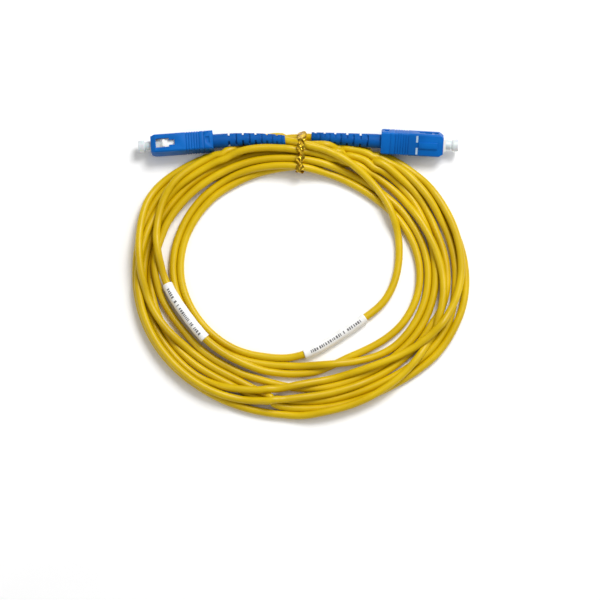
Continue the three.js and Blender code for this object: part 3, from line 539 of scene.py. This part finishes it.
def settle(points, marks, cord_d, sleeve_d, rounds):
    """The cord settled under its own weight: strands a diameter apart, none below the table."""
    p = points.copy()
    n = len(p)
    r = np.full(n, cord_d / 2)
    for k, first, last in SLEEVES.values():
        r[(marks > first + 360 * k) & (marks < last + 360 * k)] = sleeve_d / 2
    held = (marks < 0) | (marks > 1e5)
    edge = np.where(held)[0]
    start, stop = edge[edge < n // 2].max(), edge[edge > n // 2].min()
    held[: start + 1] = True
    held[stop:] = True
    target = p.copy()
    boots = []
    for tag in "ab":
        xs = np.arange(24.0, BOOT_TAIL, 1.0)
        axis = np.array([bent(tag, (-v, 0, 0))[:] for v in xs])
        boots.append((axis, np.array([boot_radius(v) for v in xs])))
    free = [np.arange(n) > start + 12, np.arange(n) < stop - 12]
    tie = np.exp(-(((p[:, 0] - TIE_X) / 14.0) ** 2)) * (p[:, 1] > COIL_Y + 20)
    floor = r + 1.2 * tie
    pair_i = pair_j = np.zeros(0, dtype=int)
    for step in range(rounds):
        if step % 6 == 0:
            tree = kdtree.KDTree(n)
            for i in range(n):
                tree.insert(p[i], i)
            tree.balance()
            one, two = [], []
            for i in range(n):
                for _, j, _ in tree.find_range(p[i], cord_d * 1.6):
                    if j > i + 4:
                        one.append(i)
                        two.append(j)
            pair_i, pair_j = np.array(one, dtype=int), np.array(two, dtype=int)
        smooth = np.zeros_like(p)
        smooth[1:-1] = 0.5 * (p[:-2] + p[2:]) - p[1:-1]
        p += 0.27 * smooth
        p[:, :2] += 0.14 * (target[:, :2] - p[:, :2])
        if step < rounds * 0.8:
            p[:, 2] -= 0.03
        for _ in range(2):
            d = p[pair_i] - p[pair_j]
            gap = np.maximum(np.linalg.norm(d, axis=1), 1e-6)
            want = (r[pair_i] + r[pair_j]) * 1.01
            over = np.maximum(0.0, want - gap)
            push = d / gap[:, None] * (over * 0.28)[:, None]
            np.add.at(p, pair_i, push)
            np.add.at(p, pair_j, -push)
        for (axis, size), loose in zip(boots, free):
            d = p[:, None, :] - axis[None, :, :]
            gap = np.linalg.norm(d, axis=2) - size[None, :]
            k = gap.argmin(axis=1)
            rows = np.arange(n)
            over = np.maximum(0.0, r - gap[rows, k]) * loose
            way = d[rows, k]
            way /= np.maximum(np.linalg.norm(way, axis=1), 1e-6)[:, None]
            p += way * (over * 0.5)[:, None]
        # The grips, as boxes that reach as far back as the grips can be drawn.
        for tag, loose in zip("ab", free):
            place = np.array(axes_of(tag))
            q = (p - place[:3, 3]) @ place[:3, :3]
            half = np.array(GRIP_HALF)
            away = q[:, 1:] - np.clip(q[:, 1:], -half, half)
            gap = np.maximum(np.linalg.norm(away, axis=1), 1e-6)
            beside = (q[:, 0] < 0) & (q[:, 0] > -GRIP_REACH) & (gap > 1e-5)
            over = np.maximum(0.0, r + 0.3 - gap) * loose * beside
            p += (away / gap[:, None] * (over * 0.8)[:, None]) @ place[:3, 1:3].T
        p[:, 2] = np.maximum(p[:, 2], floor)
        p[held] = points[held]
    return p


def tube_rings(path, radius, sides):
    """Rings of points round a path: the path's frame is carried along without a twist."""
    t = np.gradient(path, axis=0)
    t /= np.linalg.norm(t, axis=1)[:, None]
    rings, up = [], np.array([0.0, 0.0, 1.0])
    for i, at in enumerate(path):
        side = np.cross(t[i], up)
        side /= np.linalg.norm(side)
        top = np.cross(side, t[i])
        a = np.arange(sides) * 2 * math.pi / sides
        rad = radius[i] if np.ndim(radius) else radius
        rings.append(at + rad * (np.outer(np.cos(a), side) + np.outer(np.sin(a), top)))
    return rings


CORD = {}


def build_cord(cord_d, sleeve_d):
    points, marks = cord_route(cord_d)
    points, marks, step = resampled(points, marks, 1.5)
    laid = settle(points, marks, cord_d, sleeve_d, 170)
    CORD.update(path=laid, marks=marks, length=float(
        np.linalg.norm(np.diff(laid, axis=0), axis=1).sum()))
    curve = bpy.data.curves.new("cord", "CURVE")
    curve.dimensions = "3D"
    curve.bevel_depth = cord_d / 2 * MM
    curve.bevel_resolution = 6
    curve.use_fill_caps = True
    line = curve.splines.new("POLY")
    line.points.add(len(laid) - 1)
    for spot, at in zip(line.points, laid):
        spot.co = (*(at * MM), 1.0)
    line.use_smooth = True
    curve.materials.append(jacket_pvc())
    o = bpy.data.objects.new("cord", curve)
    bpy.context.scene.collection.objects.link(o)
    finish_piece(o, "cord", "yellow_jacket", "cord_coil", "cord_lead_a", "cord_lead_b",
                 "jacket_end_a", "jacket_end_b")
    return o


def stretch(tag):
    k, first, last = SLEEVES[tag]
    m = CORD["marks"]
    return CORD["path"][(m > first + 360 * k) & (m < last + 360 * k)]


def build_sleeve(tag, sleeve_d, cord_d):
    """One label sleeve, shrunk over the cord, with a row of plain dashes for its print."""
    path = stretch(tag)
    fine = np.stack([np.interp(np.linspace(0, len(path) - 1, 90), np.arange(len(path)), path[:, k])
                     for k in range(3)], axis=1)
    kernel = np.ones(5) / 5
    inner = np.stack([np.convolve(np.pad(fine[:, k], 2, mode="edge"), kernel, mode="valid")
                      for k in range(3)], axis=1)
    inner[:2], inner[-2:] = fine[:2], fine[-2:]
    sides = 40
    out_r = sleeve_d / 2 - 0.02
    wave = random.Random(7 if tag == "a" else 11)
    phase = wave.random() * 6
    radius = np.array([out_r + 0.03 * math.sin(phase + i * 0.35) for i in range(90)])
    radius[0] = radius[-1] = out_r - 0.12
    outer = tube_rings(inner, radius, sides)
    bore = tube_rings(inner, cord_d / 2 + 0.06, sides)
    bm = bmesh.new()
    shells = [[[bm.verts.new(Vector(v) * MM) for v in ring] for ring in rings]
              for rings in (outer, bore)]
    for rings, flip in zip(shells, (False, True)):
        for one, two in zip(rings, rings[1:]):
            for k in range(sides):
                q = [one[k], one[(k + 1) % sides], two[(k + 1) % sides], two[k]]
                bm.faces.new(q[::-1] if flip else q)
    for end in (0, -1):
        for k in range(sides):
            j = (k + 1) % sides
            bm.faces.new([shells[0][end][k], shells[0][end][j], shells[1][end][j],
                          shells[1][end][k]])
    bmesh.ops.recalc_face_normals(bm, faces=bm.faces)
    o = object_of("label_sleeve_" + tag + "_shell", bm, shrink_sleeve())
    finish_piece(o, "cord", "white_plastic", "label_sleeve_" + tag)
    # The print: short upright strokes of uneven width and gap, along the sleeve's top.
    t = np.gradient(inner, axis=0)
    t /= np.linalg.norm(t, axis=1)[:, None]
    run = np.concatenate([[0], np.cumsum(np.linalg.norm(np.diff(inner, axis=0), axis=1))])
    marks = bmesh.new()
    chance = random.Random(3 if tag == "a" else 5)
    s, lean = 2.4, (0.12 if tag == "a" else 0.35)
    while s < run[-1] - 2.6:
        wide = chance.choice((0.35, 0.5, 0.65))
        tall = chance.choice((0.42, 0.5, 0.5))
        if chance.random() < 0.2:
            s += 0.8
        grid = []
        for u in (s, s + wide * 0.5, s + wide):
            at = np.array([np.interp(u, run, inner[:, k]) for k in range(3)])
            tan = np.array([np.interp(u, run, t[:, k]) for k in range(3)])
            side = np.cross(tan, (0, 0, 1))
            side /= np.linalg.norm(side)
            top = np.cross(side, tan)
            row = []
            for i in range(6):
                a = math.pi / 2 + lean + (i / 5 - 0.5) * tall * 1.15
                row.append(marks.verts.new(Vector(
                    at + (out_r + 0.05) * (math.cos(a) * side + math.sin(a) * top)) * MM))
            grid.append(row)
        for one, two in zip(grid, grid[1:]):
            for i in range(5):
                marks.faces.new([one[i], one[i + 1], two[i + 1], two[i]])
        s += wide + chance.choice((0.35, 0.45, 0.6))
    bmesh.ops.recalc_face_normals(marks, faces=marks.faces)
    ink = object_of("label_print_" + tag, marks, printed("grey marking ink", "6B6A6C", 0.5))
    solid = ink.modifiers.new("thickness", "SOLIDIFY")
    solid.thickness = 0.03 * MM
    evaluated(ink)
    finish_piece(ink, "cord", "white_plastic")
    return o, ink


# ---------------------------------------------------------------- twist tie
def hull(points):
    """The convex outline of points in a plane, anticlockwise."""
    pts = sorted(set(points))

    def half(seq):
        out = []
        for p in seq:
            while len(out) > 1 and (
                (out[-1][0] - out[-2][0]) * (p[1] - out[-2][1])
                - (out[-1][1] - out[-2][1]) * (p[0] - out[-2][0])
            ) <= 0:
                out.pop()
            out.append(p)
        return out[:-1]

    return half(pts) + half(pts[::-1])


def build_tie():
    """Two foil strands wound round each other and drawn tight about the bundle."""
    p = CORD["path"]
    near = p[(np.abs(p[:, 0] - TIE_X) < 1.6) & (p[:, 1] > COIL_Y + 20)]
    spots = []
    for at in near:
        for k in range(20):
            a = 2 * math.pi * k / 20
            spots.append((round(float(at[1] + 2.05 * math.cos(a)), 4),
                          round(float(max(at[2] + 2.05 * math.sin(a), 0.62)), 4)))
    loop = np.array(hull(spots))
    loop = np.concatenate([loop, loop[:1]])
    run = np.concatenate([[0], np.cumsum(np.linalg.norm(np.diff(loop, axis=0), axis=1))])
    n = 260
    s = np.linspace(0, run[-1], n, endpoint=False)
    y, z = (np.interp(s, run, loop[:, k]) for k in range(2))
    kernel = np.exp(-0.5 * (np.arange(-6, 7) / 2.5) ** 2)
    kernel /= kernel.sum()
    y, z = (np.convolve(np.concatenate([v[-6:], v, v[:6]]), kernel, mode="valid") for v in (y, z))
    ty, tz = np.roll(y, -1) - np.roll(y, 1), np.roll(z, -1) - np.roll(z, 1)
    size = np.hypot(ty, tz)
    ny, nz = tz / size, -ty / size
    turns = max(3, round(run[-1] / 9.0))
    bm = bmesh.new()
    for strand in (0, 1):
        rings = []
        for i in range(n):
            a = 2 * math.pi * turns * i / n + math.pi * strand
            off_x, off_n = 0.8 * math.sin(a), 0.22 * math.cos(a)
            off_x += 0.3 + 0.07 * (y[i] + 5.0)
            tip = 0.9 * math.cos(a)  # the flat strand leans as it crosses
            ring = []
            for k in range(10):
                b = 2 * math.pi * k / 10
                u, w = 1.0 * math.cos(b), 0.18 * math.sin(b)
                cu, cw = u * math.cos(tip * 0.5) - w * math.sin(tip * 0.5), \
                    u * math.sin(tip * 0.5) + w * math.cos(tip * 0.5)
                ring.append(bm.verts.new(Vector((
                    TIE_X + off_x + cu,
                    y[i] + ny[i] * (off_n + cw),
                    max(0.05, z[i] + nz[i] * (off_n + cw)))) * MM))
            rings.append(ring)
        for i in range(n):
            one, two = rings[i], rings[(i + 1) % n]
            for k in range(10):
                bm.faces.new([one[k], one[(k + 1) % 10], two[(k + 1) % 10], two[k]])
    bmesh.ops.recalc_face_normals(bm, faces=bm.faces)
    o = object_of("twist_tie_strands", bm, gold_foil(), 50)
    return finish_piece(o, "cord", "gold_foil", "twist_tie")


# ---------------------------------------------------------------- plugs
def build_grip(tag):
    o = refined("outer_housing_" + tag, moulded_pbt(), "grip_" + tag, 0.16)
    # Two insertion marks printed on the keyed face.
    bm = bmesh.new()
    back = PLUGS[tag]["back"]
    for way in (-1, 1):
        block(bm, back + 10.2, back + 11.0, 2.7, 0.05, way * 2.45, 3.715)
    bmesh.ops.recalc_face_normals(bm, faces=bm.faces)
    bm.transform(axes_of(tag))
    bmesh.ops.scale(bm, vec=(MM, MM, MM), verts=bm.verts)
    mark = object_of("insertion_marks_" + tag, bm, printed("pale marking ink", "A9C2D6", 0.5))
    finish_piece(mark, "grip_" + tag, "white_plastic")
    return o, mark


def build_boot(tag):
    """The flexible boot: turned, then slotted, then bent to where its tail lies."""
    stations = [BOOT_FRONT + (BOOT_TAIL - BOOT_FRONT) * i / 60 for i in range(61)]
    step_front, step_rear = BORE_STEP
    inner = [(x, BOOT_BORE_R) for x in (BOOT_FRONT, 26.6, step_front)]
    inner.append((step_rear, BOOT_TAIL_BORE_R))
    inner += [(x, BOOT_TAIL_BORE_R) for x in stations if x > step_rear + 0.3]
    outer = [(x, boot_radius(x)) for x in stations]
    outer[0] = (BOOT_FRONT, 2.7)
    outer[-1] = (BOOT_TAIL, boot_radius(BOOT_TAIL) - 0.15)
    outer.insert(-1, (BOOT_TAIL - 0.15, boot_radius(BOOT_TAIL)))
    profile = inner + outer[::-1] + [inner[0]]
    bm = bmesh.new()
    lathe(bm, profile, 56)
    bmesh.ops.remove_doubles(bm, verts=bm.verts, dist=1e-4)
    bmesh.ops.recalc_face_normals(bm, faces=bm.faces)
    o = object_of("boot_" + tag + "_shell", bm, moulded_tpe())
    cutter = bmesh.new()
    x = SLOT_START
    for i in range(SLOT_COUNT):
        for way in (-1, 1):
            if i % 2 == 0:
                block(cutter, x, x + SLOT_L, 8, 2.9, 0, way * 2.35)
            else:
                block(cutter, x, x + SLOT_L, 2.9, 8, way * 2.35, 0)
        x += SLOT_PITCH - SLOT_SHRINK * i
    cut = object_of("slots", cutter, moulded_tpe())
    core = bmesh.new()
    ends = (SLOT_START - 1.0, BOOT_TAIL + 1.0)
    lathe(core, [(ends[0], 0), (ends[1], 0), (ends[1], SLOT_FLOOR_R), (ends[0], SLOT_FLOOR_R),
                 (ends[0], 0)], 56)
    bmesh.ops.remove_doubles(core, verts=core.verts, dist=1e-4)
    bmesh.ops.recalc_face_normals(core, faces=core.faces)
    core = object_of("slot_floor", core, moulded_tpe())
    skin = cut.modifiers.new("skin", "BOOLEAN")
    skin.operation, skin.solver, skin.object = "DIFFERENCE", "EXACT", core
    evaluated(cut)
    bpy.data.objects.remove(core)
    boolean = o.modifiers.new("slots", "BOOLEAN")
    boolean.operation, boolean.solver, boolean.object = "DIFFERENCE", "EXACT", cut
    bevel = o.modifiers.new("edges", "BEVEL")
    bevel.width, bevel.segments = 0.16, 2
    bevel.limit_method, bevel.angle_limit = "ANGLE", math.radians(50)
    evaluated(o)
    bpy.data.objects.remove(cut)
    for v in o.data.vertices:
        v.co = bent(tag, v.co) * MM
    o.data.shade_smooth()
    o.data.set_sharp_from_angle(angle=math.radians(40))
    return finish_piece(o, "cord", "blue_elastomer", "boot_" + tag)


def build_ferrule(tag):
    body = "ferrule_assembly_" + tag
    profile = [(8.2, 0), (9.0, 0.36), (9.0, 1.15), (8.8, 1.25), (-1.15, 1.25), (-1.42, 1.08),
               (-1.5, 0.9), (-1.5, 0)]
    f = turned("ferrule_" + tag + "_shell", profile, 64, ground_zirconia(), tag, 0.05)
    finish_piece(f, body, "zirconia", "ferrule_" + tag)
    flange = refined("ferrule_flange_" + tag, turned_steel(), body, 0.06)
    spring = refined("spring_" + tag, turned_steel(), body, 0)
    # The spring's rear end sits on the stop body and the flange pushes its front end back; these two
    # points are found, but the spring is not reshaped, it only gets its own mesh.
    front, rear = (axes_of(tag) @ Vector((-x, 0, 0)) for x in (SPRING_FRONT, SPRING_REAR))
    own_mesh(spring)
    return f, flange, spring


def build_cap(tag):
    profile = [(-1.8, 0), (-1.8, 1.45), (-1.7, 1.55), (3.0, 1.55), (3.0, 1.9), (-1.8, 1.9),
               (-2.1, 1.65), (-2.4, 1.65), (-2.9, 2.45), (-4.9, 2.45), (-5.1, 2.2),
               (-5.1, 1.2), (-4.95, 1.05), (-4.9, 0)]
    o = turned("dust_cap_" + tag + "_shell", profile, 72, clear_pe(), tag, 0.1)
    return finish_piece(o, "cap_" + tag, "clear_plastic", "dust_cap_" + tag)


def build_core(tag):
    """The frame and the pieces behind it, which the grip and the boot hide."""
    made = [refined("plug_frame_" + tag, white_pbt(), "cord", 0.1)]
    for node, look, slot in (("stop_body", turned_steel(), "steel"),
                             ("crimp_sleeve", turned_steel(), "steel"),
                             ("aramid_yarn", aramid(), "aramid"),
                             ("tight_buffer", white_pbt(), "white_plastic")):
        o = refined(node + "_" + tag, look, "cord", 0.04)
        made.append(o)
    return made


# ---------------------------------------------------------------- stage
def build_stage(key_power):
    bm = bmesh.new()
    bmesh.ops.create_grid(bm, x_segments=2, y_segments=2, size=3.0)
    m, t = new_material("matt white table")
    colour, fac, at = mottled(t, "FDFDFD", "FFFFFF", 0.02)
    s = add_node(t, "ShaderNodeBsdfPrincipled",
                 {"Base Color": colour, "Roughness": 0.9, "Specular IOR Level": 0.1})
    close(t, s)
    floor = object_of("table", bm, m)
    target = Vector((0.0008, -0.055, 0.0))
    for name, at, size, power in (
        ("key", (0.35, 0.55, 0.9), 0.5, key_power),
        ("fill", (-0.9, -0.5, 0.6), 1.0, key_power * 0.3),
        ("overhead", (0.7, 0.3, 1.0), 1.2, key_power * 0.6),
    ):
        light = bpy.data.lights.new(name, "AREA")
        light.shape, light.size, light.energy = "DISK", size, power
        o = bpy.data.objects.new(name, light)
        o.location = at
        o.rotation_euler = (target - Vector(at)).to_track_quat("-Z", "Y").to_euler()
        bpy.context.scene.collection.objects.link(o)
    world = bpy.data.worlds.new("studio")
    world.use_nodes = True
    world.node_tree.nodes["Background"].inputs["Color"].default_value = (1, 1, 1, 1)
    world.node_tree.nodes["Background"].inputs["Strength"].default_value = 0.3
    bpy.context.scene.world = world
    cam = bpy.data.cameras.new("camera")
    cam.lens, cam.sensor_width = 200.0, 36.0
    o = bpy.data.objects.new("camera", cam)
    bpy.context.scene.collection.objects.link(o)
    look = Vector((0.0008, -0.0633, 0.0))
    e = math.radians(80.0)
    away = 0.24 * 200.0 / 36.0
    o.location = look + Vector((0, -math.cos(e), math.sin(e))) * away
    o.rotation_euler = (look - o.location).to_track_quat("-Z", "Y").to_euler()
    bpy.context.scene.camera = o
    bpy.context.scene.view_settings.view_transform = "Standard"
    return floor


# ---------------------------------------------------------------- add-on
class CordSettings(bpy.types.PropertyGroup):
    diameter: bpy.props.FloatProperty(
        name="Cord diameter", description="Outside diameter of the jacket", default=0.003,
        min=0.002, max=0.004, unit="LENGTH")
    sleeve: bpy.props.FloatProperty(
        name="Sleeve diameter", description="Outside diameter of the label sleeves",
        default=0.0042, min=0.0035, max=0.006, unit="LENGTH")


class StageSettings(bpy.types.PropertyGroup):
    key: bpy.props.FloatProperty(
        name="Key light", description="Power of the key light", default=9.0, min=0.0,
        subtype="POWER")


class PATCHCORD_OT_cord(bpy.types.Operator):
    """Lay the cord: nine settled turns from one boot to the other"""

    bl_idname = "patchcord.cord"
    bl_label = "Cord"

    def execute(self, context):
        s = context.scene.patchcord_cord
        o = build_cord(s.diameter / MM, s.sleeve / MM)
        context.scene["patchcord_cord_object"] = o.name
        return {"FINISHED"}


class PATCHCORD_OT_sleeves(bpy.types.Operator):
    bl_idname = "patchcord.sleeves"
    bl_label = "Label sleeves"

    def execute(self, context):
        s = context.scene.patchcord_cord
        pieces = []
        for tag in "ab":
            pieces += build_sleeve(tag, s.sleeve / MM, s.diameter / MM)
        tie = build_tie()
        return {"FINISHED"}


class PATCHCORD_OT_grips(bpy.types.Operator):
    """The two push-pull grips with their insertion marks"""

    bl_idname = "patchcord.grips"
    bl_label = "Grips"

    def execute(self, context):
        for tag in "ab":
            build_grip(tag)
        return {"FINISHED"}


class PATCHCORD_OT_boots(bpy.types.Operator):
    """The two slotted boots"""

    bl_idname = "patchcord.boots"
    bl_label = "Boots"

    def execute(self, context):
        for tag in "ab":
            build_boot(tag)
        return {"FINISHED"}


class PATCHCORD_OT_cores(bpy.types.Operator):
    """Plug frames, ferrules, springs and crimps"""

    bl_idname = "patchcord.cores"
    bl_label = "Plug cores"

    def execute(self, context):
        for tag in "ab":
            build_core(tag)
            build_ferrule(tag)
        return {"FINISHED"}


class PATCHCORD_OT_caps(bpy.types.Operator):
    """The two dust caps"""

    bl_idname = "patchcord.caps"
    bl_label = "Dust caps"

    def execute(self, context):
        for tag in "ab":
            build_cap(tag)
        return {"FINISHED"}


class PATCHCORD_OT_stage(bpy.types.Operator):
    """Table, soft lights and camera"""

    bl_idname = "patchcord.stage"
    bl_label = "Stage"

    def execute(self, context):
        build_stage(context.scene.patchcord_stage.key)
        return {"FINISHED"}


class PATCHCORD_PT_panel(bpy.types.Panel):
    bl_label = "Patch cord"
    bl_idname = "PATCHCORD_PT_panel"
    bl_space_type = "VIEW_3D"
    bl_region_type = "UI"
    bl_category = "Patch cord"

    def draw(self, context):
        col = self.layout.column()
        col.prop(context.scene.patchcord_cord, "diameter")
        col.prop(context.scene.patchcord_cord, "sleeve")
        col.prop(context.scene.patchcord_stage, "key")
        for op in OPERATORS:
            col.operator(op.bl_idname)


OPERATORS = (PATCHCORD_OT_cord, PATCHCORD_OT_sleeves, PATCHCORD_OT_grips, PATCHCORD_OT_boots,
             PATCHCORD_OT_cores, PATCHCORD_OT_caps, PATCHCORD_OT_stage)
CLASSES = (CordSettings, StageSettings, *OPERATORS, PATCHCORD_PT_panel)


def register():
    for c in CLASSES:
        bpy.utils.register_class(c)
    bpy.types.Scene.patchcord_cord = bpy.props.PointerProperty(type=CordSettings)
    bpy.types.Scene.patchcord_stage = bpy.props.PointerProperty(type=StageSettings)


def unregister():
    del bpy.types.Scene.patchcord_cord
    del bpy.types.Scene.patchcord_stage
    for c in reversed(CLASSES):
        bpy.utils.unregister_class(c)


def main():
    register()
    bpy.ops.patchcord.cord()
    bpy.ops.patchcord.sleeves()
    bpy.ops.patchcord.grips()
    bpy.ops.patchcord.boots()
    bpy.ops.patchcord.cores()
    bpy.ops.patchcord.caps()
    bpy.ops.patchcord.stage()


if __name__ == "__main__":
    main()
